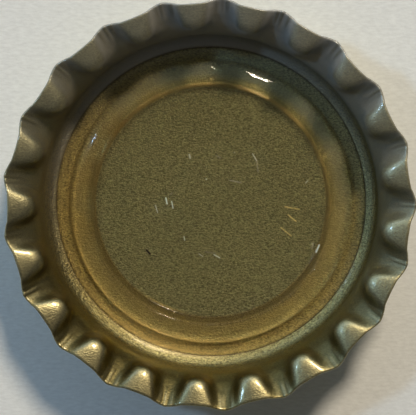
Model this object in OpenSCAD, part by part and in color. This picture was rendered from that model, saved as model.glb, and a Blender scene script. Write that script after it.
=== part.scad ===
// Pry-off bottle cap, drawn from one disc of sheet metal, with a moulded sealing liner.
// The panel lies on the ground plane and the mouth opens upwards. The origin is the
// centre of the panel's outer face, and one tooth's crest lies on the +X axis.

/* [Overall] */
// Outside diameter over the tips of the teeth
cap_od = 32.1; // [31:0.1:34]
// Height from the panel's outer face to the top of the rim
cap_h = 6; // [5.4:0.05:8]
// Inside diameter of the straight band that slips over the bottle's lip
mouth_d = 26.75; // [24:0.05:27.5]
// Thickness of the metal sheet
sheet_t = 0.24; // [0.16:0.01:0.32]
// Inside radius of the corner between the panel and the band
corner_r = 1.5; // [1.2:0.05:1.9]
// Height of the straight band above the corner
band_h = 0.4; // [0.25:0.05:0.8]

/* [Skirt] */
// Number of teeth round the rim
teeth = 21; // [17:1:25]
// Diameter across the pads between the teeth, inside the sheet at the rim
pad_d = 30.9; // [30:0.1:31.4]
// How far the outer corners of the teeth end below the top of the rim
tip_drop = 0.3; // [0.1:0.05:0.6]
// How far a pad's foot stands out from the band
pad_foot_w = 0.42; // [0.2:0.02:0.6]
// Depth of a pad's foot below the top of the rim
pad_foot_depth = 1.1; // [0.9:0.05:1.4]
// Width of the ledge at a pad's foot
ledge_w = 0.41; // [0.3:0.01:0.5]
// Rise of the ledge at a pad's foot
ledge_rise = 0.18; // [0.1:0.01:0.3]
// Height above the band at which the crests begin to turn outwards
crest_rise = 1; // [0.6:0.05:1.2]
// How far the crests stand out from the band there
crest_knee_w = 0.13; // [0.05:0.01:0.3]
// Width of the crests' turn outwards
crest_turn_w = 0.5; // [0.3:0.01:0.7]
// Height of the crests' turn outwards
crest_turn_h = 0.87; // [0.6:0.01:1.1]
// Softness of the bends from the band to the rim, as half the length of a bend
bend_reach = 0.12; // [0.05:0.01:0.25]
// Half width of a tooth at the band
tooth_half_base = 2; // [1.6:0.05:2.4]
// Half width of a tooth beside a pad's foot
tooth_half_foot = 1.6; // [1.3:0.05:2]
// Half width of a tooth at the rim
tooth_half_rim = 1.3; // [1:0.05:1.6]
// How squarely the flanks of a tooth leave the pads low down, where 1 is a plain slope
flank_low = 3; // [1:0.1:3.5]
// How squarely the flanks of a tooth leave the pads at the rim
flank_rim = 1.2; // [1:0.1:2]
// Roundness of a tooth's crest
crest_round = 0.14; // [0.12:0.01:0.3]
// Softness of the bend between a tooth and its pads
toe_soft = 0.09; // [0.05:0.01:0.3]

/* [Liner] */
// Clearance between the band and the liner's outer edge
liner_margin = 0.95; // [0.6:0.05:1.4]
// Thickness of the liner's flat centre
film_t = 0.2; // [0.12:0.01:0.35]
// Thickness of the flange round the sealing bead
flange_t = 0.12; // [0.08:0.01:0.25]
// Width of the flange
flange_w = 1.05; // [0.6:0.05:1.4]
// Height of the sealing bead above the panel's inner face
bead_h = 0.75; // [0.6:0.05:1]
// Radius of the bead's round outer side
nose_r = 0.8; // [0.5:0.01:0.9]
// Width of the bead's broad shoulder, inside its crown
shoulder_w = 1; // [0.6:0.05:1.6]
// How far the shoulder falls away from the crown
shoulder_drop = 0.35; // [0.1:0.01:0.4]
// Width of the slope from the shoulder down to the flat centre
step_w = 0.28; // [0.2:0.02:0.8]

/* [Hidden] */
// Curved faces of revolution
$fn = 180;

// Sheet and band
half_t = sheet_t / 2;
mouth_r = mouth_d / 2;
band_top = sheet_t + corner_r + band_h;
sheet_start = [mouth_r + half_t, band_top];

// The skirt is rooted in the band by a tongue a little thinner than the sheet
tongue_h = 0.15;
tongue_inset = 0.02;

// Steps from a crest to the middle of a pad, crowded towards the crest
half_pitch = 180 / teeth;
steps = 5;
crowding = 1.5;
// Rings of points from the band to the pads' feet and from there to the rim, as shares
lower_rings = [0.1, 0.37, 0.64, 0.84, 0.94];
upper_rings = [0, 0.1, 0.2, 0.32, 0.55, 0.77, 1];
// Small moves along the sheet that give its direction
angle_move = 0.05;
place_move = 0.005;
// Points averaged across a bend
bend_samples = [-1, -0.5, 0, 0.5, 1];

// Liner radii, from the outer edge inwards
liner_r = mouth_r - liner_margin;
groove_r = liner_r - flange_w;
crown_r = groove_r - nose_r;
shoulder_r = crown_r - shoulder_w;
film_r = shoulder_r - step_w;
shoulder_h = bead_h - shoulder_drop;
dome_r = (pow(shoulder_w, 2) + pow(shoulder_drop, 2)) / (2 * shoulder_drop);

// ---- Meridians of the skirt, as [radius, height] ----

// End of the sheet's middle line, whose cut edge has one corner at a given point.
// side is 1 for the outer corner and -1 for the inner one.
function sheet_end(control, corner, side) =
    let (
        to_corner = corner - control,
        reach = sqrt(pow(norm(to_corner), 2) - pow(half_t, 2)),
        flare = atan2(to_corner.x, to_corner.y) - side * asin(half_t / norm(to_corner))
    )
    control + reach * [sin(flare), cos(flare)];

pad_foot = [sheet_start.x + pad_foot_w, cap_h - pad_foot_depth];
ledge_end = pad_foot + [ledge_w, ledge_rise];
pad_end = sheet_end(ledge_end, [pad_d / 2, cap_h], -1);
pad_line = [sheet_start, pad_foot, ledge_end, pad_end];

crest_knee = sheet_start + [crest_knee_w, crest_rise];
crest_shoulder = crest_knee + [crest_turn_w, crest_turn_h];
crest_end = sheet_end(crest_shoulder, [cap_od / 2, cap_h - tip_drop], 1);
crest_line = [sheet_start, crest_knee, crest_shoulder, crest_end];

// Average of some numbers
function mean(values) = values * [for (v = values) 1] / len(values);

// One straight run of a line, and the length of the runs from it on
function run(line, i) = line[i + 1] - line[i];

function line_length(line, i = 0) =
    norm(run(line, i)) + (i < len(line) - 2 ? line_length(line, i + 1) : 0);

// Point at a distance along a line of straight runs; the end runs go on past their ends
function point_at(line, distance, i = 0) =
    let (length = norm(run(line, i)))
    distance <= length || i == len(line) - 2
        ? line[i] + run(line, i) * distance / length
        : point_at(line, distance - length, i + 1);

// Point at a place from 0 to 1 along a line whose bends are softened
function meridian(line, place) =
    let (
        distance = place * line_length(line),
        points = [for (k = bend_samples) point_at(line, distance + k * bend_reach)]
    )
    [for (axis = [0, 1]) mean([for (p = points) p[axis]])];

// ---- Corrugation ----

// How much of a tooth there is at a distance from its crest: 1 on the crest, 0 on a pad
function tooth_share(distance, half_w, squareness) =
    let (
        slant = norm([half_w, crest_round]) - crest_round,
        ramp = 1 - (norm([distance, crest_round]) - crest_round) / slant,
        eased = (ramp + norm([ramp, 2 * toe_soft])) / (1 + norm([1, 2 * toe_soft]))
    )
    1 - pow(1 - min(eased, 1), squareness);

// Place of the pads' feet from the band, at 0, to the rim, at 1
foot_place = norm(run(pad_line, 0)) / line_length(pad_line);
half_widths = [[0, tooth_half_base], [foot_place, tooth_half_foot], [1, tooth_half_rim]];
flank_squareness = [[0, flank_low], [foot_place, flank_low], [1, flank_rim]];

// Angle of a point from the nearest crest
function from_crest(angle) =
    let (turns = angle / (2 * half_pitch)) abs(turns - round(turns)) * 2 * half_pitch;

// Point on the middle of the sheet
function sheet_mid(angle, place) =
    let (
        pad = meridian(pad_line, place),
        crest = meridian(crest_line, place),
        half_w = lookup(place, half_widths),
        squareness = lookup(place, flank_squareness),
        distance = from_crest(angle) * PI / 180 * crest.x,
        rz = pad + (crest - pad) * tooth_share(distance, half_w, squareness)
    )
    [rz.x * cos(angle), rz.x * sin(angle), rz.y];

// Outward direction square to the sheet
function sheet_out(angle, place) =
    let (
        around = sheet_mid(angle + angle_move, place) - sheet_mid(angle - angle_move, place),
        up = sheet_mid(angle, place + place_move) - sheet_mid(angle, place - place_move),
        out = cross(around, up)
    )
    out / norm(out);

// ---- Rings of points ----

column_angles = [
    for (tooth = [0 : teeth - 1], i = [-steps : steps - 1])
        half_pitch * (2 * tooth + sign(i) * pow(abs(i) / steps, crowding))
];

ring_places = concat(
    foot_place * lower_rings,
    [for (share = upper_rings) foot_place + (1 - foot_place) * share]
);

// side is 1 for the outer face of the sheet and -1 for the inner one
function tongue_ring(side) =
    let (r = mouth_r + half_t + side * (half_t - tongue_inset))
    [for (a = column_angles) [r * cos(a), r * sin(a), band_top - tongue_h]];

function sheet_ring(place, side) =
    [for (a = column_angles) sheet_mid(a, place) + side * half_t * sheet_out(a, place)];

// A closed loop of rings: up the outer face, over the rim and down the inner face
skirt_rings = concat(
    [tongue_ring(1)],
    [for (place = ring_places) sheet_ring(place, 1)],
    [for (i = [len(ring_places) - 1 : -1 : 0]) sheet_ring(ring_places[i], -1)],
    [tongue_ring(-1)]
);

module skirt() {
    columns = len(column_angles);
    rings = len(skirt_rings);
    corners = [for (r = [0 : rings - 1], c = [0 : columns - 1]) [
        r * columns + c,
        r * columns + (c + 1) % columns,
        (r + 1) % rings * columns + (c + 1) % columns,
        (r + 1) % rings * columns + c
    ]];
    faces = [for (q = corners, half = [0, 1]) half == 0 ? [q[0], q[3], q[2]] : [q[0], q[2], q[1]]];
    polyhedron([for (ring = skirt_rings, p = ring) p], faces, convexity = 6);
}

// ---- Pan: panel, corner and band ----

// Half section of a round pan's inside, standing on the X axis
module pan_section(r, corner, h) {
    square([r - corner, h]);
    translate([0, corner]) square([r, h - corner]);
    intersection() {
        translate([r - corner, corner]) circle(corner);
        translate([r - corner, 0]) square(corner);
    }
}

module pan() {
    mouth_play = 1;
    rotate_extrude() difference() {
        pan_section(mouth_r + sheet_t, corner_r + sheet_t, band_top);
        translate([0, sheet_t]) pan_section(mouth_r, corner_r, band_top + mouth_play);
    }
}

module cap_shell() {
    color([0.62, 0.54, 0.32]) {
        pan();
        skirt();
    }
}

// ---- Liner, drawn on the panel's inner face ----

// Even layer on the panel that turns up into the corner
module layer_section(t, r) {
    intersection() {
        difference() {
            pan_section(mouth_r, corner_r, band_top);
            translate([0, t]) pan_section(mouth_r - t, corner_r - t, band_top);
        }
        square([r, corner_r]);
    }
}

module bead_section() {
    intersection() {
        translate([crown_r, bead_h - dome_r]) circle(dome_r);
        polygon([
            [film_r, 0],
            [film_r, film_t],
            [shoulder_r, shoulder_h],
            [shoulder_r, bead_h],
            [crown_r, bead_h],
            [crown_r, 0]
        ]);
    }
    intersection() {
        translate([crown_r, bead_h - nose_r]) circle(nose_r);
        translate([crown_r, 0]) square([nose_r, bead_h]);
    }
}

module sealing_liner() {
    color([0.85, 0.83, 0.72, 0.5])
        translate([0, 0, sheet_t])
            rotate_extrude() {
                square([film_r, film_t]);
                bead_section();
                layer_section(flange_t, liner_r);
            }
}

cap_shell();
sealing_liner();
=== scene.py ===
import math

import bpy
import numpy as np
from mathutils import Matrix, Vector


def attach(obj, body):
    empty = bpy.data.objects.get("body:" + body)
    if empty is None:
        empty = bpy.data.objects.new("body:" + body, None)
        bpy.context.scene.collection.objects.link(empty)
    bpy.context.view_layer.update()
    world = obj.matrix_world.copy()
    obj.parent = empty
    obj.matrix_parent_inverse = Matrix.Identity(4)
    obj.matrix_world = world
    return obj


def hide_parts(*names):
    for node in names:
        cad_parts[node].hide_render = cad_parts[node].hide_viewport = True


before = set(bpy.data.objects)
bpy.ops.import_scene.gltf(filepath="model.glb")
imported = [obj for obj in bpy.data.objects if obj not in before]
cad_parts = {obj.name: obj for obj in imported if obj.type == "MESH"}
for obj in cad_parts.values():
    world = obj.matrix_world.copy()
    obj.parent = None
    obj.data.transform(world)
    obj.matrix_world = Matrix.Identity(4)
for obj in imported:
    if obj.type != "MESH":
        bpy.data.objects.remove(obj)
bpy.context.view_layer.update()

MM = 0.001

# ---- Main sizes, in millimetres, as in the part's source ----

CAP_H = 6.0
MOUTH_R = 13.375
SHEET_T = 0.24
HALF_T = SHEET_T / 2
BAND_R = MOUTH_R + HALF_T
BAND_TOP = 2.14
TEETH = 21
PITCH = 2 * math.pi / TEETH
FIRST_CREST = math.radians(0.4)

# Corner between the panel and the band: a broad arc, then a tighter one
FLAT_R = 11.56
BROAD_R = 2.5
BROAD_DEGREES = 29
BROAD_TURN = math.radians(BROAD_DEGREES)
TIGHT_R = 1.16

# ---- Skirt, in millimetres; a place on it is 0 on the band and 1 on the rim ----

# Bends of its meridians: length along the sheet, flare from upright beyond it, softness
PAD_BENDS = [(0.15, 1.5, 0.08), (3.14, 65, 0.34), (3.84, 78, 0.25)]
CREST_BENDS = [(0.15, 9, 0.08), (1.0, 30, 0.15), (2.0, 46, 0.25), (3.2, 52, 0.2)]
PAD_LENGTH = 5.19
CREST_LENGTH = 4.52

# A tooth's section at each place: its half width, how full its flanks are, how soft its toes are
HALF_WIDTHS = [(0, 2.0), (0.62, 1.38), (0.82, 1.32), (1, 1.22)]
FLANK_POWERS = [(0, 3.0), (0.64, 3.0), (0.85, 2.0), (1, 1.25)]
TOE_SOFTS = [(0, 0.12), (0.64, 0.12), (0.78, 0.1), (1, 0.05)]
CREST_ROUND = 0.08

# Pads between the teeth: how much flatter than round, within which angle, and how crowned
PAD_FLAT = 2.0
PAD_FLAT_REACH = math.radians(5)
PAD_CROWN = 0.065

# Places where the crown and the wrinkles start, and over how much of the skirt they come in
PAD_CROWN_START = (0.62, 0.1)
WRINKLE_START = (0.62, 0.15)

# Three wrinkles by each crest: where each may lie in degrees, its width, least and most height
WRINKLE_SPANS = [(-2.6, -1.4), (-0.5, 0.5), (1.3, 2.4)]
WRINKLE_WIDTH = 0.36
WRINKLE_LEAST = 0.018
WRINKLE_MOST = 0.065

# ---- Liner, in millimetres; its heights are above the panel's inner face ----

# Film, a steep step up, a low dome, a rounded outer side, and a thin flange to the edge
FILM_R = 9.33
SHOULDER_R = 9.83
CROWN_R = 10.58
GROOVE_R = 11.41
LINER_EDGE_R = 12.42
FILM_T = 0.2
FLANGE_T = 0.12
BEAD_H = 0.9
BEAD_FOOT_H = FLANGE_T + 0.02
SHOULDER_DROP = 0.1
OUTER_ROUND = 0.8
OUTER_TURN = 87
STEP_SOFT = 0.035
SUNK = 0.02

# Flat spots on the bead's outer side: middle and half width in degrees, and strength
DENTS = [(68.5, 5.5, 1.0), (85.0, 3.5, 2.0), (152, 13.0, 1.0)]
DENT_SLOPE = 0.42

# ---- Fineness of the two meshes ----

COLUMNS_PER_TOOTH = 34
COLUMN_GATHER = 1.25
LINER_COLUMNS = 540

# Radii of the rings on the panel's inner and outer face, in millimetres
INNER_RINGS = [
    0.6, 3, 7, 8.85, 9.0, 9.1, 9.2, 9.38, 9.5, 9.64,
    9.8, 9.95, 10.1, 10.4, 10.7, 10.9, 11.05, 11.2, 11.35, 11.5,
]
OUTER_RINGS = [0.6, 4, 8, 10.5]

# Places of the rings on the skirt, and turns of those round the edge of its sheet in degrees
SKIRT_PLACES = np.concatenate([
    np.linspace(0, 0.08, 9)[:-1],
    np.linspace(0.08, 0.56, 9)[:-1],
    np.linspace(0.56, 0.78, 13)[:-1],
    np.linspace(0.78, 1, 9),
])
RIM_TURNS = [-50, -15, 15, 50]
RIM_BULGE = 0.6

# Radii of the rings on the liner's film and under the liner, and the zone of fine rings at its step
FILM_RINGS = [0.6, 2, 4, 6, 7.5, 8.6, 9.0]
UNDER_RINGS = [10.5, 9, 6, 3, 0.6]
STEP_ZONE = 0.06

# ---- Painted light and shade kept in the points, with radii in millimetres, directions in degrees ----
# A start or an end is a position and a width over which it comes in, below 0 where it ends.

# Painted shade: how dark the shell is painted inside, by radius on the panel and in its corner
PANEL_PAINTED_SHADES = [
    (0, 0.7), (9.2, 0.7), (9.38, 0.35), (12.3, 0.3),
    (12.5, 1.0), (12.7, 1.0), (13.1, 0.75), (13.375, 0.6),
]
RIM_PAINTED_SHADE = 0.4

# Under the liner's step there is painted shadow, but painted light on the side that glows
STEP_GLOW = 75
STEP_PAINTED_SHADOW = 1.0
STEP_PAINTED_LIGHT = 0.2
STEP_START = (9.34, 0.15)
STEP_END = (10.05, -0.15)

# On the skirt, painted shade lies on the wall and in each tooth's groove, in degrees from its crest
WALL_END = (0.66, -0.07)
WALL_FOOT = 0.6
WALL_SLOPE = 4
GROOVE_PAINTED_SHADE = 0.92
GROOVE_HALF = 6.3
GROOVE_TAPER = 1.4
GROOVE_TAPER_START = (0.6, 0.4)
GROOVE_FADE = 1.3

# Along the wrinkles the grooves' painted shade gives way to painted light streaks
STREAK_LIGHT = 0.9
STREAK_WIDTH = 0.34
STREAK_START = (0.7, 0.15)

# Glow: parts of rings where light gathers under the liner and beside its edge
# Middle and half width, direction, narrowness, strength
GLOWS = [
    (9.22, 0.09, 246, 120, 0.7),
    (9.6, 0.26, 80, 2, 1.0),
    (11.2, 0.25, 250, 3, 0.8),
    (11.7, 0.22, 247, 25, 0.6),
    (12.22, 0.14, 252, 14, 0.75),
    (12.58, 0.11, 254, 45, 0.35),
]

# Painted shade: rings on the panel and in its corner that are painted dimmer, given the same way
PAINTED_DIM_RINGS = [
    (9.1, 0.12, 95, 2, 1.0),
    (9.43, 0.12, 250, 1, 0.4),
    (12.55, 0.12, 254, 20, 0.8),
    (12.6, 0.3, 208, 8, 0.8),
    (12.85, 0.35, 172, 11, 1.0),
]

# The skirt's side that faces the lamp has painted shade too, above its foot, and most in the
# grooves
SUNNY_MIDDLE = 250
SUNNY_START = (0.22, 0.16)
SUNNY_BASE = 0.65
SUNNY_GROOVES = 0.35

# Painted grey light: thin grey painted on the shaded side of the skirt and of the corner, and how
# fast it fades
PAINTED_GREY_MIDDLE = 80
PAINTED_GREY_POWER = 2
PAINTED_GREY_BASE = 0.5
PAINTED_GREY_GROOVES = 0.5
WALL_PAINTED_GREY_MIDDLE = 100
WALL_PAINTED_GREY_POWER = 3
WALL_PAINTED_GREY_START = (12.4, 0.2)

# Painted light veil: the liner's shaded side, outside its shoulder, is painted greyer and less
# clear, and a painted reflection lies across its bead
PAINTED_VEIL_MIDDLE = 72
PAINTED_VEIL_POWER = 2.5
PAINTED_VEIL_START = (SHOULDER_R, 0.5)
PAINTED_REFLECTION_MIDDLE = 153
PAINTED_REFLECTION_HALF = 12
PAINTED_REFLECTION_R = 10.85
PAINTED_REFLECTION_WIDTH = 0.35
PAINTED_REFLECTION_STRENGTH = 0.6

# ---- Gold lacquer on the shell, with lengths in metres ----

METAL_COLOUR = (0.55, 0.49, 0.25)
METAL_ROUGHNESS = 0.38
EDGE_TINT = (0.7, 0.65, 0.5)
COAT_WEIGHT = 1.0
COAT_IN_THE_DARK = 0.06
COAT_ROUGHNESS = 0.1
COAT_IOR = 1.5

# Slow changes of the roughness
DRIFT_SCALE = 420
DRIFT_RANGE = (0.3, 0.7)
ROUGHNESS_DRIFT = 0.03

# Coarse grain, drawn out along the rolling direction, and fine grain
ROLLING = (0.6, 1, 1)
COARSE_SCALE = 9500
COARSE_DISTORTION = 0.6
COARSE_RANGE = (0.32, 0.68)
FINE_SCALE = 15000
COARSE_BUMP = 0.00005
FINE_BUMP = 0.000025
COAT_GRAIN = 0.12
GRAIN_CONTRAST = 0.45

# Heights between which the metal turns from panel to skirt, and on the skirt: its roughness,
# and the shares left of the grain's bump and tint
SKIRT_RANGE = (0.0018, 0.0030)
SKIRT_ROUGHNESS = 0.41
SKIRT_GRAIN = 0.4
SKIRT_SPECKLE = 0.45

# Stops by radius are shares of this radius
RAMP_R = 0.013

# Share of the grain's tint by radius: less of it under the sealing bead
GRAIN_CALM = [(0.715, 1.0), (0.738, 0.4), (0.823, 0.4), (0.846, 1.0)]

# Painted shade at its strongest: bluer on the disc inside the bead
DISC_SHADE = (0.42, 0.61, 1.0)
DEEP_SHADE = (0.49, 0.49, 0.41)
DEPTH_SHADES = [(0.708, DISC_SHADE), (0.722, DEEP_SHADE)]

# Shade of the skirt's upper part, and the heights between which it comes in
SKIRT_SHADE = (0.78, 0.80, 0.86)
SKIRT_SHADE_RANGE = (0.0030, 0.0050)

# Painted shade where it is dim, and colour of the painted grey light, each in the open and in the
# grooves
DIM_SHADE = (0.57, 0.54, 0.50)
DIM_SHADE_DEEP = (0.585, 0.525, 0.43)
PAINTED_GREY_COLOUR = (0.21, 0.23, 0.25)
PAINTED_GREY_DEEP = (0.42, 0.42, 0.40)
PAINTED_GREY_WEIGHT = 0.8
# Colour of the glow: painted light where light gathers
GLOW_COLOUR = (1.0, 0.85, 0.48)

# Painted shadow line around the liner's edge: its radius and blur, and the heights that part the
# metal's inner face, which has it, from the outer face
EDGE_SHADOW_COLOUR = (0.14, 0.11, 0.05)
EDGE_LINE_R = (LINER_EDGE_R + 0.04) * MM
EDGE_LINE_FADE = (0.00003, 0.00008)
EDGE_LINE_HEIGHTS = (0.00028, 0.00034)

# Plain strokes in the panel's metal, in millimetres: x, y, x, y, half width and strength
STROKE_COLOUR = (1.0, 0.95, 0.6)
PANEL_STROKES = [
    (6, -0.38, 7.13, -0.58, 0.03, 1),
    (6.24, -1.03, 6.88, -1.55, 0.03, 1),
    (5.67, -2.07, 6.48, -2.72, 0.03, 1),
]
STROKE_BLUR = 0.00005

# ---- Clear compound of the liner, with lengths in metres ----

LINER_COLOUR = (0.97, 0.795, 0.44)
LINER_IOR = 1.5
LINER_SPECULAR = 0.35
LINER_CLEARNESS = 0.97
# Roughness by radius: the film, the bead and the flange
LINER_ROUGHNESS = [(0.70, 0.12), (0.76, 0.08), (0.86, 0.08), (0.89, 0.2)]

# Where the painted light veil lies: its colour, and how much less clear it is
PAINTED_VEIL_TINT = (0.75, 0.80, 0.62)
LINER_PAINTED_VEIL = 0.1

# Slow waves and quick ripples in its surface
WAVE_SCALE = 260
WAVE_BUMP = 0.00002
RIPPLE_SCALE = 1400
RIPPLE_BUMP = 0.000012

# Scratches and a speck on the film, given like the strokes
SCRATCH_COLOUR = (0.8, 0.95, 0.85)
FILM_SCRATCHES = [
    (-3.61, 0.33, -3.51, -0.15, 0.03, 1),
    (-3.14, 0.06, -3.03, -0.5, 0.02, 0.94),
    (-4.45, -0.26, -4.27, -0.86, 0.02, 0.81),
    (-3.28, 0.59, -3.08, 0.71, 0.02, 0.41),
    (-1.71, 3.82, -1.65, 3.54, 0.05, 0.68),
    (-2.15, -2.8, -2.09, -3.08, 0.02, 0.94),
    (-0.94, -4.19, -0.62, -4.4, 0.02, 0.68),
    (0.27, -4.25, 0.75, -4.51, 0.02, 0.81),
    (-0.46, -4.01, 0.43, -4.13, 0.02, 0.34),
    (3.37, 3.9, 3.7, 3.33, 0.02, 0.68),
    (3.7, 3.33, 3.82, 2.45, 0.02, 0.34),
    (1.52, 1.76, 2.45, 1.56, 0.02, 0.47),
    (0.46, 3.75, 0.8, 3.56, 0.02, 0.41),
    (7.65, 1.56, 7.81, 1.72, 0.03, 0.68),
    (8.5, -4.01, 8.74, -3.45, 0.04, 0.68),
    (8.18, -3.69, 8.26, -3.28, 0.03, 0.34),
    (-0.35, 1.85, -0.33, 1.85, 0.04, 0.81),
    (1.91, 4, 1.93, 4, 0.03, 0.68),
]
SPECK_COLOUR = (0.01, 0.01, 0.01)
FILM_SPECK = [
    (-5.17, -3.9, -4.9, -4.2, 0.055, 1),
]

# ---- Paper, lamps, room and camera, with lengths in metres ----

PAPER_HALF = 1.5
PAPER_ROUGHNESS = 0.9
PAPER_SPECULAR = 0.2
# Clouds in the paper's colour, and fibres along the picture's width that darken it
CLOUD_SCALE = 60
CLOUD_TINTS = [(0.3, (0.89, 0.925, 0.93)), (0.7, (0.92, 0.955, 0.96))]
FIBRE_RUN = (0.35, 1, 1)
FIBRE_SCALE = 4800
FIBRE_TINTS = [(0.3, 0.88), (0.7, 1.0)]
# Unevenness of its surface
PAPER_GRAIN_SCALE = 900
PAPER_BUMP = 0.00006
PAPER_BUMP_STRENGTH = 0.6

# Lamps, seen from the cap: azimuth, elevation and width in degrees, colour, irradiance
LAMP_DISTANCE = 0.7
WARM_LAMP = (68, 43.5, 11, (1.0, 0.846, 0.644), 1.57)
COOL_WINDOW = (155, 44, 5, (0.45, 0.70, 1.0), 0.38)

# Radiance of the room low down and half way up, at each eighth of a turn, and overhead
LOW_BAND = [
    (0.08, 0.08, 0.07), (0.08, 0.10, 0.12), (0.42, 0.55, 0.57), (0.42, 0.52, 0.55),
    (0.08, 0.10, 0.13), (0.06, 0.06, 0.06), (0.06, 0.06, 0.06), (0.07, 0.07, 0.06),
]
MID_BAND = [
    (0.03, 0.03, 0.03), (0.03, 0.03, 0.03), (1.14, 1.46, 1.70), (0.74, 1.0, 1.28),
    (0.03, 0.04, 0.05), (0.03, 0.03, 0.03), (0.03, 0.03, 0.03), (0.03, 0.03, 0.03),
]
HIGH_LEVEL = (0.088, 0.086, 0.078)
TOP_LEVEL = (0.02, 0.02, 0.02)
# Sines of the elevations where one turns into the next, and over how much
LOW_TO_MID = 0.34
MID_TO_HIGH = 0.6
HIGH_TO_TOP = 0.95
BAND_SOFT = 0.15
TOP_SOFT = BAND_SOFT / 2

# Camera almost straight above the cap; its lens and sensor are in millimetres
LENS = 156.4
SENSOR_WIDTH = 36
CLIP_START = 0.005
CAMERA_DISTANCE = 0.14
CAMERA_DIRECTION = (0.032, 0.056, 1)
# Shift in pixels of a picture of this width
PICTURE_WIDTH = 416
SHIFT_X = -0.4
SHIFT_Y = -1.6


# ---- Numbers by place and direction ----

def rise(value, start, width):
    """0 up to the start and 1 from a width beyond it; a width below 0 runs the other way."""
    return np.clip((value - start) / width, 0, 1)


def by_table(value, table):
    return np.interp(value, *zip(*table))


def toward(angles, degrees):
    """1 in the given direction and 0 opposite it."""
    return 0.5 + 0.5 * np.cos(angles - math.radians(degrees))


def soft_ring(radii, middle, half):
    """1 near the middle of a ring, 0.5 at its half width and 0 further off."""
    return np.clip(1.5 - np.abs(radii - middle) / half, 0, 1)


# ---- Mesh helpers ----

def circle(angles, r, z):
    """A ring of points; its height may differ from point to point."""
    return np.stack([r * np.cos(angles), r * np.sin(angles), np.broadcast_to(z, angles.shape)], 1)


def arc(center, radius, start, end, steps):
    """Points on an arc. Angles run from straight down (0) towards outwards (90)."""
    turn = np.radians(np.linspace(start, end, steps))
    return np.stack([center[0] + radius * np.sin(turn), center[1] - radius * np.cos(turn)], 1)


def lathe_mesh(name, rings, start_point, end_point):
    """Closed surface through rings of points, from one middle point to another."""
    count = rings.shape[1]
    points = np.concatenate([rings.reshape(-1, 3), [start_point, end_point]]) * MM
    cols = np.arange(count)
    nxt = (cols + 1) % count
    faces = []
    for k in range(rings.shape[0] - 1):
        a = k * count
        b = (k + 1) * count
        faces.append(np.stack([a + cols, b + cols, b + nxt, a + nxt], 1))
    quads = np.concatenate(faces)
    first = rings.shape[0] * count
    last = first + 1
    tail = (rings.shape[0] - 1) * count
    fan_a = np.stack([np.full(count, first), cols, nxt], 1)
    fan_b = np.stack([np.full(count, last), tail + nxt, tail + cols], 1)
    mesh = bpy.data.meshes.new(name)
    mesh.from_pydata(points.tolist(), [], quads.tolist() + fan_a.tolist() + fan_b.tolist())
    mesh.polygons.foreach_set("use_smooth", [True] * len(mesh.polygons))
    mesh.update()
    obj = bpy.data.objects.new(name, mesh)
    bpy.context.scene.collection.objects.link(obj)
    return obj


def keep_in_points(piece, name, values, at_middles=(0, 0)):
    """Store a number in each point of a lathed piece, and in its two middle points."""
    attribute = piece.data.attributes.new(name, "FLOAT", "POINT")
    attribute.data.foreach_set("value", np.concatenate([values.ravel(), at_middles]))


# ---- Form of the cap shell ----

def draw_wrinkles():
    """Places of the wrinkles by each crest, in degrees from it, and their heights."""
    rng = np.random.default_rng(7)
    places = [rng.uniform(low, high, TEETH) for low, high in WRINKLE_SPANS]
    heights = rng.uniform(WRINKLE_LEAST, WRINKLE_MOST, (TEETH, len(WRINKLE_SPANS)))
    return np.stack(places, 1), heights


WRINKLE_PLACES, WRINKLE_HEIGHTS = draw_wrinkles()


def make_meridian(bends, length):
    """Place, radius and height of the sheet's middle at each of many even steps along it."""
    s = np.linspace(-0.05 * length, 1.05 * length, 2201)
    flare = np.zeros_like(s)
    before = 0.0
    for place, after, soft in bends:
        share = 0.5 + 0.5 * np.tanh((s - place) / soft)
        flare = flare + np.radians(after - before) * share
        before = after
    step = s[1] - s[0]
    between = (flare[1:] + flare[:-1]) / 2
    r = np.concatenate([[0], np.cumsum(np.sin(between) * step)])
    z = np.concatenate([[0], np.cumsum(np.cos(between) * step)])
    at = np.searchsorted(s, 0.0)
    return s / length, r - r[at] + BAND_R, z - z[at] + BAND_TOP


PAD_LINE = make_meridian(PAD_BENDS, PAD_LENGTH)
CREST_LINE = make_meridian(CREST_BENDS, CREST_LENGTH)


def along(line, place):
    share, r, z = line
    return np.interp(place, share, r), np.interp(place, share, z)


def split_turn(angles):
    """The nearest tooth's number, and the angle from its crest."""
    turn = (angles - FIRST_CREST) / PITCH
    nearest = np.round(turn)
    return nearest.astype(int) % TEETH, (turn - nearest) * PITCH


def tooth_share(distance, place):
    """1 on a tooth's crest and 0 on the pads, by the distance from the crest."""
    half_w = by_table(place, HALF_WIDTHS)
    power = by_table(place, FLANK_POWERS)
    toe_soft = by_table(place, TOE_SOFTS)
    slant = np.hypot(half_w, CREST_ROUND) - CREST_ROUND
    ramp = 1 - (np.hypot(distance, CREST_ROUND) - CREST_ROUND) / slant
    eased = (ramp + np.hypot(ramp, 2 * toe_soft)) / (1 + np.hypot(1, 2 * toe_soft))
    return 1 - (1 - np.clip(eased, 0, 1)) ** power


def wrinkles(tooth, side, place):
    """Small ridges that the press left along the teeth, near their crests."""
    total = np.zeros_like(side)
    for k in range(len(WRINKLE_SPANS)):
        ridge = np.exp(-((side - WRINKLE_PLACES[tooth, k]) / WRINKLE_WIDTH) ** 2)
        total = total + WRINKLE_HEIGHTS[tooth, k] * ridge
    return total * rise(place, *WRINKLE_START)


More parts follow.
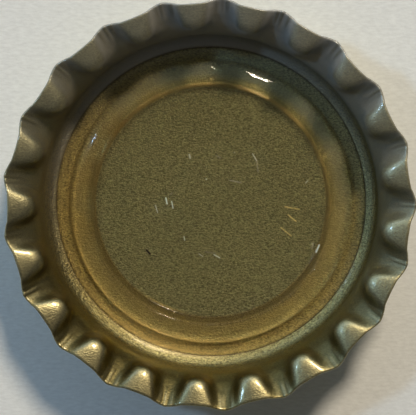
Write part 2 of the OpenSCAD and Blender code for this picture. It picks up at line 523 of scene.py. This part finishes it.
def skirt_mid(angles, place):
    """Points on the middle of the sheet, all at one place of the skirt."""
    tooth, off = split_turn(angles)
    from_pad = PITCH / 2 - np.abs(off)
    crest_r, crest_z = along(CREST_LINE, place)
    pad_r, pad_z = along(PAD_LINE, place)
    pad_z = pad_z - PAD_CROWN * (from_pad * pad_r) ** 2 * rise(place, *PAD_CROWN_START)
    pad_r = pad_r * (1 + PAD_FLAT * (1 / np.cos(np.minimum(from_pad, PAD_FLAT_REACH)) - 1))
    share = tooth_share(np.abs(off) * crest_r, place)
    r = pad_r + (crest_r - pad_r) * share
    z = pad_z + (crest_z - pad_z) * share + wrinkles(tooth, np.degrees(off), place)
    return circle(angles, r, z)


def skirt_normal(angles, place):
    """Directions outwards, square to the sheet."""
    da = 5e-4
    dp = 2e-3
    around = skirt_mid(angles + da, place) - skirt_mid(angles - da, place)
    up = skirt_mid(angles, place + dp) - skirt_mid(angles, place - dp)
    out = np.cross(around, up)
    return out / np.linalg.norm(out, axis=-1, keepdims=True)


def rim_rings(angles, mid, out):
    """Rings round the edge of the sheet, from its inner to its outer side."""
    up = skirt_mid(angles, 1.0) - skirt_mid(angles, 0.999)
    up = up / np.linalg.norm(up, axis=1, keepdims=True)
    rings = []
    for turn in np.radians(RIM_TURNS):
        rings.append(mid + HALF_T * (out * math.sin(turn) + up * math.cos(turn) * RIM_BULGE))
    return rings


def corner_profile(offset):
    """The corner's radius and height, offset outwards from its inner face."""
    broad_c = (FLAT_R, SHEET_T + BROAD_R)
    join_r = FLAT_R + BROAD_R * math.sin(BROAD_TURN)
    join_z = SHEET_T + BROAD_R * (1 - math.cos(BROAD_TURN))
    tight_c = (join_r - TIGHT_R * math.sin(BROAD_TURN), join_z + TIGHT_R * math.cos(BROAD_TURN))
    broad = arc(broad_c, BROAD_R + offset, 0, BROAD_DEGREES, 8)
    tight = arc(tight_c, TIGHT_R + offset, BROAD_DEGREES, 90, 12)
    return np.concatenate([broad, tight[1:]]).tolist()


def shell_columns():
    """Angles of the mesh's columns, closer together near each crest."""
    half = COLUMNS_PER_TOOTH / 2
    i = np.arange(-COLUMNS_PER_TOOTH // 2, COLUMNS_PER_TOOTH // 2)
    within = np.sign(i) * (np.abs(i) / half) ** COLUMN_GATHER * 0.5
    return np.concatenate([(t + within) * PITCH + FIRST_CREST for t in range(TEETH)])


# ---- Painted light and shade on the cap shell ----

def panel_painted_shade(radii, angles):
    """How dark the panel and its corner are painted: painted shade, with painted shadow under the
    liner's step.
    """
    under_step = rise(radii, *STEP_START) * rise(radii, *STEP_END)
    shadow = STEP_PAINTED_SHADOW * (1 - toward(angles, STEP_GLOW)) - STEP_PAINTED_LIGHT
    return by_table(radii, PANEL_PAINTED_SHADES)[:, None] + np.outer(under_step, shadow)


def skirt_painted_shade(angles, place):
    """Painted shade at one place of the skirt: 1 on the wall and in the grooves."""
    tooth, off = split_turn(angles)
    side = np.degrees(off)
    ridges = np.exp(-(((side[:, None] - WRINKLE_PLACES[tooth]) / STREAK_WIDTH) ** 2))
    streaks = ridges * WRINKLE_HEIGHTS[tooth] / WRINKLE_MOST
    light = STREAK_LIGHT * streaks.max(1) * rise(place, *STREAK_START)
    half = GROOVE_HALF - GROOVE_TAPER * rise(place, *GROOVE_TAPER_START)
    groove = rise(np.abs(side), half, -GROOVE_FADE)
    wall = rise(place, *WALL_END) * np.clip(WALL_FOOT + WALL_SLOPE * place, 0, 1)
    return np.maximum(wall, GROOVE_PAINTED_SHADE * groove * (1 - light))


def panel_rings(rings, radii, angles):
    """The strongest of some soft rings at each radius and angle."""
    total = np.zeros((len(radii), len(angles)))
    for middle, half, direction, narrow, strength in rings:
        ring = np.outer(soft_ring(radii, middle, half), toward(angles, direction) ** narrow)
        total = np.maximum(total, strength * ring)
    return total


def shade_shell(shell, radii, angles, shape):
    """Keep the painted glow, painted grey light, painted dimness and painted shade in the shell's
    points, ring by ring.
    """
    panel = slice(0, len(radii))
    skirt = slice(panel.stop, panel.stop + len(SKIRT_PLACES))
    rim = slice(skirt.stop, skirt.stop + len(RIM_TURNS))

    # Painted shade: in the corner, on the rim, on the wall and in the grooves, and painted shadow
    # under the liner's step
    painted_shade = np.zeros(shape)
    painted_shade[panel] = panel_painted_shade(radii, angles)
    painted_shade[skirt] = [skirt_painted_shade(angles, place) for place in SKIRT_PLACES]
    painted_shade[rim] = RIM_PAINTED_SHADE

    glow = np.zeros(shape)
    glow[panel] = panel_rings(GLOWS, radii, angles)

    # Painted grey light on the shaded side of the skirt and of the corner
    shaded = toward(angles, PAINTED_GREY_MIDDLE) ** PAINTED_GREY_POWER
    shaded_wall = toward(angles, WALL_PAINTED_GREY_MIDDLE) ** WALL_PAINTED_GREY_POWER
    painted_grey_light = np.zeros(shape)
    painted_grey_light[panel] = np.outer(rise(radii, *WALL_PAINTED_GREY_START), shaded_wall)
    painted_grey_light[skirt] = (PAINTED_GREY_BASE + PAINTED_GREY_GROOVES * painted_shade[skirt]) * shaded
    painted_grey_light[rim] = shaded

    # Painted shade on the skirt's side that faces the lamp, and in dim rings
    sunny = np.clip(np.cos(angles - math.radians(SUNNY_MIDDLE)), 0, 1)
    sunny_skirt = np.outer(rise(SKIRT_PLACES, *SUNNY_START), sunny)
    painted_dim = np.zeros(shape)
    painted_dim[panel] = panel_rings(PAINTED_DIM_RINGS, radii, angles)
    painted_dim[skirt] = sunny_skirt * (SUNNY_BASE + SUNNY_GROOVES * painted_shade[skirt])

    keep_in_points(shell, "glow", glow)
    keep_in_points(shell, "painted_grey_light", painted_grey_light)
    keep_in_points(shell, "painted_dim", painted_dim)
    keep_in_points(shell, "painted_shade", painted_shade, (PANEL_PAINTED_SHADES[0][1], 0))


def build_shell():
    angles = shell_columns()
    inner = [(r, SHEET_T) for r in INNER_RINGS] + corner_profile(0)
    outer = [(r, 0) for r in OUTER_RINGS] + corner_profile(SHEET_T)
    mids = [skirt_mid(angles, place) for place in SKIRT_PLACES]
    outs = [skirt_normal(angles, place) for place in SKIRT_PLACES]
    rings = [circle(angles, r, z) for r, z in inner]
    rings += [mid - HALF_T * out for mid, out in zip(mids, outs)]
    rings += rim_rings(angles, mids[-1], outs[-1])
    rings += [mid + HALF_T * out for mid, out in zip(mids, outs)][::-1]
    rings += [circle(angles, r, z) for r, z in outer][::-1]
    shell = lathe_mesh("cap_shell_skin", np.array(rings), (0, 0, SHEET_T), (0, 0, 0))
    shade_shell(shell, np.array([r for r, z in inner]), angles, (len(rings), len(angles)))
    return shell


# ---- Sealing liner ----

def bead_top():
    """Radius and height of the film and the bead, from the middle out to the bead's foot."""
    dome = np.linspace(SHOULDER_R, CROWN_R, 40)
    dome_h = BEAD_H - SHOULDER_DROP * ((CROWN_R - dome) / (CROWN_R - SHOULDER_R)) ** 2
    line_r = np.concatenate([[0, FILM_R], dome])
    line_h = np.concatenate([[FILM_T, FILM_T], dome_h])
    foot = np.linspace(FILM_R - STEP_ZONE, FILM_R + STEP_ZONE, 11)
    shoulder = np.linspace(SHOULDER_R - STEP_ZONE, SHOULDER_R + STEP_ZONE, 11)
    climb = np.linspace(foot[-1], shoulder[0], 6)[1:-1]
    crown = np.linspace(shoulder[-1], CROWN_R, 7)[1:]
    points = [(r, FILM_T) for r in FILM_RINGS]
    for r in np.concatenate([foot, climb, shoulder, crown]):
        around = np.linspace(r - STEP_SOFT, r + STEP_SOFT, 21)
        mirrored = np.minimum(around, 2 * CROWN_R - around)
        points.append((r, float(np.interp(mirrored, line_r, line_h).mean())))
    for turn in np.radians(np.linspace(0, OUTER_TURN, 19)[1:]):
        down = OUTER_ROUND * (1 - math.cos(turn))
        points.append((CROWN_R + OUTER_ROUND * math.sin(turn), BEAD_H - down))
    return [(r, h) for r, h in points if h > BEAD_FOOT_H]


def metal_height(r):
    """Height of the metal's inner face above the panel's, out to the liner's edge."""
    if r <= FLAT_R:
        return 0.0
    return BROAD_R - math.sqrt(BROAD_R ** 2 - (r - FLAT_R) ** 2)


def flange_top():
    """Radius and height of the flange, out over its rounded edge."""
    points = []
    for r in np.linspace(GROOVE_R + 0.03, LINER_EDGE_R - FLANGE_T, 10):
        points.append((r, metal_height(r) + FLANGE_T))
    for turn in np.radians(np.linspace(0, 90, 9)[1:]):
        r = LINER_EDGE_R - FLANGE_T * (1 - math.sin(turn))
        points.append((r, metal_height(r) + FLANGE_T * math.cos(turn)))
    return points


def liner_bottom():
    """Radius and height of the underside, a little way in the metal, from the edge inwards."""
    radii = [LINER_EDGE_R, *np.linspace(LINER_EDGE_R - 0.05, FLAT_R, 8), *UNDER_RINGS]
    return [(r, metal_height(r) - SUNK) for r in radii]


def liner_dent(degrees, r):
    """How much lower the flat spots make the bead at one radius."""
    total = np.zeros_like(degrees)
    if r > GROOVE_R:
        return total
    x = min(max(r - CROWN_R, 0), DENT_SLOPE * OUTER_ROUND)
    drop = x * (DENT_SLOPE - x / (2 * OUTER_ROUND))
    for middle, half, strength in DENTS:
        total = total + strength * drop * np.exp(-np.abs((degrees - middle) / half) ** 4)
    return total


def liner_painted_veil(radii, angles):
    """How much painted light veil and painted reflection the liner has, ring by ring."""
    reflection_side = np.exp(-np.abs((np.degrees(angles) - PAINTED_REFLECTION_MIDDLE) / PAINTED_REFLECTION_HALF) ** 4)
    painted_reflection = np.outer(soft_ring(radii, PAINTED_REFLECTION_R, PAINTED_REFLECTION_WIDTH) * PAINTED_REFLECTION_STRENGTH, reflection_side)
    shaded = toward(angles, PAINTED_VEIL_MIDDLE) ** PAINTED_VEIL_POWER
    return np.maximum(np.outer(rise(radii, *PAINTED_VEIL_START), shaded), painted_reflection)


def build_liner():
    angles = np.arange(LINER_COLUMNS) / LINER_COLUMNS * 2 * math.pi
    top = bead_top() + flange_top()
    bottom = liner_bottom()
    rings = []
    for r, h in top:
        rings.append(circle(angles, r, SHEET_T + h - liner_dent(np.degrees(angles), r)))
    for r, h in bottom:
        rings.append(circle(angles, r, SHEET_T + h))
    start = (0, 0, SHEET_T + FILM_T)
    end = (0, 0, SHEET_T - SUNK)
    liner = lathe_mesh("sealing_liner_skin", np.array(rings), start, end)
    radii = np.array([r for r, h in top + bottom])
    keep_in_points(liner, "painted_light_veil", liner_painted_veil(radii, angles))
    return liner


# ---- Material helpers ----

class Nodes:
    """Short ways to add nodes to a material or to the world."""

    def __init__(self, owner):
        owner.use_nodes = True
        self.tree = owner.node_tree
        self.tree.nodes.clear()

    def add(self, kind, **values):
        node = self.tree.nodes.new(kind)
        for name, value in values.items():
            setattr(node, name, value)
        return node

    def link(self, source, target):
        self.tree.links.new(source, target)

    def feed(self, target, value):
        """Link an input to another node's output, or set it to a number, vector or colour."""
        if isinstance(value, bpy.types.NodeSocket):
            self.link(value, target)
        elif target.type == "RGBA":
            target.default_value = (*value, 1)
        else:
            target.default_value = value

    def two_inputs(self, kind, operation, first, second):
        node = self.add(kind, operation=operation)
        self.feed(node.inputs[0], first)
        if second is not None:
            self.feed(node.inputs[1], second)
        return node.outputs

    def calc(self, operation, first, second=None):
        """A number from numbers."""
        return self.two_inputs("ShaderNodeMath", operation, first, second)["Value"]

    def measure(self, operation, first, second=None):
        """A number from vectors."""
        return self.two_inputs("ShaderNodeVectorMath", operation, first, second)["Value"]

    def vector(self, operation, first, second=None):
        """A vector from vectors."""
        return self.two_inputs("ShaderNodeVectorMath", operation, first, second)["Vector"]

    def coords(self):
        return self.add("ShaderNodeTexCoord").outputs["Object"]

    def attribute(self, name):
        return self.add("ShaderNodeAttribute", attribute_name=name).outputs["Fac"]

    def split(self, vector):
        node = self.add("ShaderNodeSeparateXYZ")
        self.link(vector, node.inputs["Vector"])
        return node.outputs

    def flat(self, coords):
        return self.vector("MULTIPLY", coords, (1, 1, 0))

    def radius(self, coords):
        return self.measure("LENGTH", self.flat(coords))

    def span(self, value, low, high, new_low, new_high):
        node = self.add("ShaderNodeMapRange")
        node.inputs["From Min"].default_value = low
        node.inputs["From Max"].default_value = high
        node.inputs["To Min"].default_value = new_low
        node.inputs["To Max"].default_value = new_high
        self.link(value, node.inputs["Value"])
        return node.outputs["Result"]

    def ramp(self, value, stops):
        """Colours by value; a grey may be given as one number."""
        node = self.add("ShaderNodeValToRGB")
        ramp = node.color_ramp
        while len(ramp.elements) < len(stops):
            ramp.elements.new(0.5)
        for element, (place, colour) in zip(ramp.elements, stops):
            rgb = colour if isinstance(colour, tuple) else (colour,) * 3
            element.position = place
            element.color = (*rgb, 1)
        self.link(value, node.inputs["Fac"])
        return node.outputs["Color"]

    def radial_ramp(self, coords, stops):
        return self.ramp(self.span(self.radius(coords), 0, RAMP_R, 0, 1), stops)

    def mix(self, factor, first, second, blend="MIX"):
        node = self.add("ShaderNodeMix", data_type="RGBA", blend_type=blend)
        self.feed(node.inputs["Factor"], factor)
        self.feed(node.inputs[6], first)
        self.feed(node.inputs[7], second)
        return node.outputs[2]

    def noise(self, coords, scale, detail, roughness=0.5, distortion=0.0):
        node = self.add("ShaderNodeTexNoise")
        node.inputs["Scale"].default_value = scale
        node.inputs["Detail"].default_value = detail
        node.inputs["Roughness"].default_value = roughness
        node.inputs["Distortion"].default_value = distortion
        self.link(coords, node.inputs["Vector"])
        return node.outputs["Fac"]

    def bump(self, height, distance, strength=1.0, normal=None):
        node = self.add("ShaderNodeBump")
        node.inputs["Distance"].default_value = distance
        self.feed(node.inputs["Strength"], strength)
        self.link(height, node.inputs["Height"])
        if normal is not None:
            self.link(normal, node.inputs["Normal"])
        return node.outputs["Normal"]

    def stroke_mask(self, coords, strokes):
        """1 on short straight strokes, each given as x, y, x, y, half width and strength."""
        flat = self.flat(coords)
        masks = []
        for ax, ay, bx, by, half_w, strength in strokes:
            run = Vector((bx - ax, by - ay, 0)) * MM
            from_start = self.vector("SUBTRACT", flat, (ax * MM, ay * MM, 0))
            held = self.add("ShaderNodeClamp")
            along_run = self.measure("DOT_PRODUCT", from_start, run / run.length_squared)
            self.link(along_run, held.inputs["Value"])
            nearest = self.add("ShaderNodeVectorMath", operation="SCALE")
            nearest.inputs[0].default_value = run
            self.link(held.outputs["Result"], nearest.inputs["Scale"])
            gap = self.measure("DISTANCE", from_start, nearest.outputs["Vector"])
            masks.append(self.span(gap, half_w * MM, half_w * MM + STROKE_BLUR, strength, 0))
        total = masks[0]
        for mask in masks[1:]:
            total = self.calc("MAXIMUM", total, mask)
        return total

    def edge_shadow_line(self, coords):
        """1 on the painted shadow line of metal around the liner's edge."""
        inside = self.span(self.split(coords)["Z"], *EDGE_LINE_HEIGHTS, 0, 1)
        gap = self.calc("ABSOLUTE", self.calc("SUBTRACT", self.radius(coords), EDGE_LINE_R))
        near = self.span(gap, *EDGE_LINE_FADE, 1, 0)
        return self.calc("MULTIPLY", inside, near)

    def finish(self, kind, result):
        """Link a shader's result to an output node."""
        out = self.add(kind)
        self.link(result, out.inputs["Surface"])


# ---- Materials ----

def grained_colour(n, coords, coarse, height):
    """The lacquer's own colour, speckled by its grain."""
    dark = tuple(c * (1 - GRAIN_CONTRAST) for c in METAL_COLOUR)
    pale = tuple(c * (1 + GRAIN_CONTRAST) for c in METAL_COLOUR)
    grained = n.ramp(coarse, [(COARSE_RANGE[0], dark), (COARSE_RANGE[1], pale)])
    calmed = n.mix(n.radial_ramp(coords, GRAIN_CALM), METAL_COLOUR, grained)
    return n.mix(n.span(height, *SKIRT_RANGE, 1.0, SKIRT_SPECKLE), METAL_COLOUR, calmed)


def metal_colour(n, coords, coarse, height, painted_shade, painted_grey_light):
    """The grained colour with all its painted shades, marks, painted shadow line, painted glows and
    painted grey light.
    """
    grained = grained_colour(n, coords, coarse, height)
    # Painted shade, strongest on the wall and in the grooves, and bluer on the disc
    shaded = n.mix(painted_shade, grained, n.radial_ramp(coords, DEPTH_SHADES), "MULTIPLY")
    high = n.span(height, *SKIRT_SHADE_RANGE, 0, 1)
    toned = n.mix(high, shaded, SKIRT_SHADE, "MULTIPLY")
    # Painted shade on the lamp's side of the skirt and in dim rings
    painted_dimmed = n.mix(n.attribute("painted_dim"), toned, n.mix(painted_shade, DIM_SHADE, DIM_SHADE_DEEP), "MULTIPLY")
    # Painted shadow line around the liner's edge
    edge_shadowed = n.mix(n.edge_shadow_line(coords), painted_dimmed, EDGE_SHADOW_COLOUR)
    marked = n.mix(n.stroke_mask(coords, PANEL_STROKES), edge_shadowed, STROKE_COLOUR)
    lit = n.mix(n.attribute("glow"), marked, GLOW_COLOUR)
    # Painted grey light on the shaded side, which also makes the metal less metallic
    return n.mix(painted_grey_light, lit, n.mix(painted_shade, PAINTED_GREY_COLOUR, PAINTED_GREY_DEEP))


def metal_material():
    material = bpy.data.materials.new("gold_lacquer")
    n = Nodes(material)
    coords = n.coords()
    height = n.split(coords)["Z"]
    painted_shade = n.attribute("painted_shade")
    painted_grey_light = n.attribute("painted_grey_light")
    rolled = n.vector("MULTIPLY", coords, ROLLING)
    coarse = n.noise(rolled, COARSE_SCALE, detail=1.0, distortion=COARSE_DISTORTION)
    fine = n.noise(coords, FINE_SCALE, detail=0.0)
    slow = n.noise(coords, DRIFT_SCALE, detail=3.0, roughness=0.6)
    drift = n.span(slow, *DRIFT_RANGE, -ROUGHNESS_DRIFT, ROUGHNESS_DRIFT)
    roughness = n.span(height, *SKIRT_RANGE, METAL_ROUGHNESS, SKIRT_ROUGHNESS)
    strength = n.span(height, *SKIRT_RANGE, 1.0, SKIRT_GRAIN)
    coat = n.span(painted_shade, 0, 1, COAT_WEIGHT, COAT_WEIGHT * COAT_IN_THE_DARK)
    grain = n.bump(fine, FINE_BUMP, strength, n.bump(coarse, COARSE_BUMP, strength))

    shader = n.add("ShaderNodeBsdfPrincipled")
    n.link(metal_colour(n, coords, coarse, height, painted_shade, painted_grey_light), shader.inputs["Base Color"])
    n.link(n.span(painted_grey_light, 0, 1, 1, 1 - PAINTED_GREY_WEIGHT), shader.inputs["Metallic"])
    n.link(n.calc("ADD", roughness, drift), shader.inputs["Roughness"])
    n.link(grain, shader.inputs["Normal"])
    n.link(coat, shader.inputs["Coat Weight"])
    n.link(n.bump(coarse, COARSE_BUMP, COAT_GRAIN), shader.inputs["Coat Normal"])
    shader.inputs["Specular Tint"].default_value = (*EDGE_TINT, 1)
    shader.inputs["Coat Roughness"].default_value = COAT_ROUGHNESS
    shader.inputs["Coat IOR"].default_value = COAT_IOR
    n.finish("ShaderNodeOutputMaterial", shader.outputs["BSDF"])
    return material


def liner_material():
    material = bpy.data.materials.new("liner_compound")
    n = Nodes(material)
    coords = n.coords()
    painted_light_veil = n.attribute("painted_light_veil")
    scratched = n.stroke_mask(coords, FILM_SCRATCHES)
    speck = n.stroke_mask(coords, FILM_SPECK)
    clean = n.mix(scratched, LINER_COLOUR, SCRATCH_COLOUR)
    # The painted light veil greys the compound and makes it less clear on its shaded side and in
    # the painted reflection
    colour = n.mix(speck, n.mix(painted_light_veil, clean, PAINTED_VEIL_TINT), SPECK_COLOUR)
    clear = n.span(n.calc("MAXIMUM", scratched, speck), 0, 1, LINER_CLEARNESS, 0)
    veiled_clear = n.calc("MULTIPLY", clear, n.span(painted_light_veil, 0, 1, 1, 1 - LINER_PAINTED_VEIL))
    waves = n.bump(n.noise(coords, WAVE_SCALE, detail=2.0), WAVE_BUMP)
    ripples = n.bump(n.noise(coords, RIPPLE_SCALE, detail=1.0), RIPPLE_BUMP, normal=waves)

    shader = n.add("ShaderNodeBsdfPrincipled")
    n.link(colour, shader.inputs["Base Color"])
    n.link(veiled_clear, shader.inputs["Transmission Weight"])
    n.link(n.radial_ramp(coords, LINER_ROUGHNESS), shader.inputs["Roughness"])
    n.link(ripples, shader.inputs["Normal"])
    shader.inputs["IOR"].default_value = LINER_IOR
    shader.inputs["Specular IOR Level"].default_value = LINER_SPECULAR
    n.finish("ShaderNodeOutputMaterial", shader.outputs["BSDF"])
    return material


def paper_material():
    material = bpy.data.materials.new("paper_floor")
    n = Nodes(material)
    coords = n.coords()
    clouds = n.ramp(n.noise(coords, CLOUD_SCALE, detail=3.0, roughness=0.6), CLOUD_TINTS)
    drawn_out = n.vector("MULTIPLY", coords, FIBRE_RUN)
    fibres = n.ramp(n.noise(drawn_out, FIBRE_SCALE, detail=2.0, roughness=0.6), FIBRE_TINTS)
    grain = n.noise(coords, PAPER_GRAIN_SCALE, detail=3.0, roughness=0.6)

    shader = n.add("ShaderNodeBsdfPrincipled")
    n.link(n.mix(1.0, clouds, fibres, "MULTIPLY"), shader.inputs["Base Color"])
    n.link(n.bump(grain, PAPER_BUMP, PAPER_BUMP_STRENGTH), shader.inputs["Normal"])
    shader.inputs["Roughness"].default_value = PAPER_ROUGHNESS
    shader.inputs["Specular IOR Level"].default_value = PAPER_SPECULAR
    n.finish("ShaderNodeOutputMaterial", shader.outputs["BSDF"])
    return material


# ---- Stage ----

def build_floor():
    corners = [(-1, -1), (1, -1), (1, 1), (-1, 1)]
    mesh = bpy.data.meshes.new("paper_sheet")
    mesh.from_pydata([(x * PAPER_HALF, y * PAPER_HALF, 0) for x, y in corners], [], [(0, 1, 2, 3)])
    obj = bpy.data.objects.new("paper_sheet", mesh)
    bpy.context.scene.collection.objects.link(obj)
    mesh.materials.append(paper_material())
    return obj


def area_lamp(name, azimuth, elevation, width, colour, irradiance):
    """A soft lamp that lights the middle of the floor by the given irradiance."""
    az = math.radians(azimuth)
    el = math.radians(elevation)
    light = bpy.data.lights.new(name, "AREA")
    light.shape = "DISK"
    light.size = 2 * LAMP_DISTANCE * math.tan(math.radians(width / 2))
    light.color = colour
    light.energy = irradiance * math.pi * LAMP_DISTANCE ** 2 / math.sin(el)
    towards = Vector((math.cos(az) * math.cos(el), math.sin(az) * math.cos(el), math.sin(el)))
    obj = bpy.data.objects.new(name, light)
    obj.location = towards * LAMP_DISTANCE
    obj.rotation_euler = towards.to_track_quat("Z", "Y").to_euler()
    bpy.context.scene.collection.objects.link(obj)


def build_world():
    """A dim room whose low walls and one tall cool window light the cap from around."""
    world = bpy.data.worlds.new("soft_room")
    n = Nodes(world)
    direction = n.split(n.add("ShaderNodeTexCoord").outputs["Generated"])
    turn = n.calc("ARCTAN2", direction["Y"], direction["X"])
    share = n.span(turn, -math.pi, math.pi, 0, 1)

    def band(colours):
        around = colours[4:] + colours[:5]
        return n.ramp(share, [(k / (len(around) - 1), colour) for k, colour in enumerate(around)])

    def blend(level, below, above, soft):
        factor = n.span(direction["Z"], level - soft / 2, level + soft / 2, 0, 1)
        return n.mix(factor, below, above)

    lower = blend(LOW_TO_MID, band(LOW_BAND), band(MID_BAND), BAND_SOFT)
    upper = blend(MID_TO_HIGH, lower, HIGH_LEVEL, BAND_SOFT)
    background = n.add("ShaderNodeBackground")
    n.link(blend(HIGH_TO_TOP, upper, TOP_LEVEL, TOP_SOFT), background.inputs["Color"])
    n.finish("ShaderNodeOutputWorld", background.outputs["Background"])
    bpy.context.scene.world = world


def build_camera():
    """Looks down on the cap, with +Y towards the top of the picture."""
    data = bpy.data.cameras.new("camera")
    data.lens = LENS
    data.sensor_width = SENSOR_WIDTH
    data.clip_start = CLIP_START
    data.shift_x = SHIFT_X / PICTURE_WIDTH
    data.shift_y = SHIFT_Y / PICTURE_WIDTH
    back = Vector(CAMERA_DIRECTION).normalized()
    right = Vector((0, 1, 0)).cross(back).normalized()
    up = back.cross(right)
    basis = Matrix((right, up, back)).transposed()
    position = Vector((0, 0, CAP_H * MM)) + back * CAMERA_DISTANCE
    obj = bpy.data.objects.new("camera", data)
    obj.matrix_world = Matrix.Translation(position) @ basis.to_4x4()
    bpy.context.scene.collection.objects.link(obj)
    bpy.context.scene.camera = obj


# ---- Assembly ----

shell = build_shell()
shell.data.materials.append(metal_material())
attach(shell, "root")
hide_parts("cap_shell")

liner = build_liner()
liner.data.materials.append(liner_material())
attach(liner, "root")
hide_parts("sealing_liner")

build_floor()
area_lamp("warm_lamp", *WARM_LAMP)
area_lamp("cool_window", *COOL_WINDOW)
build_world()
build_camera()

bpy.context.scene.view_settings.view_transform = "Standard"
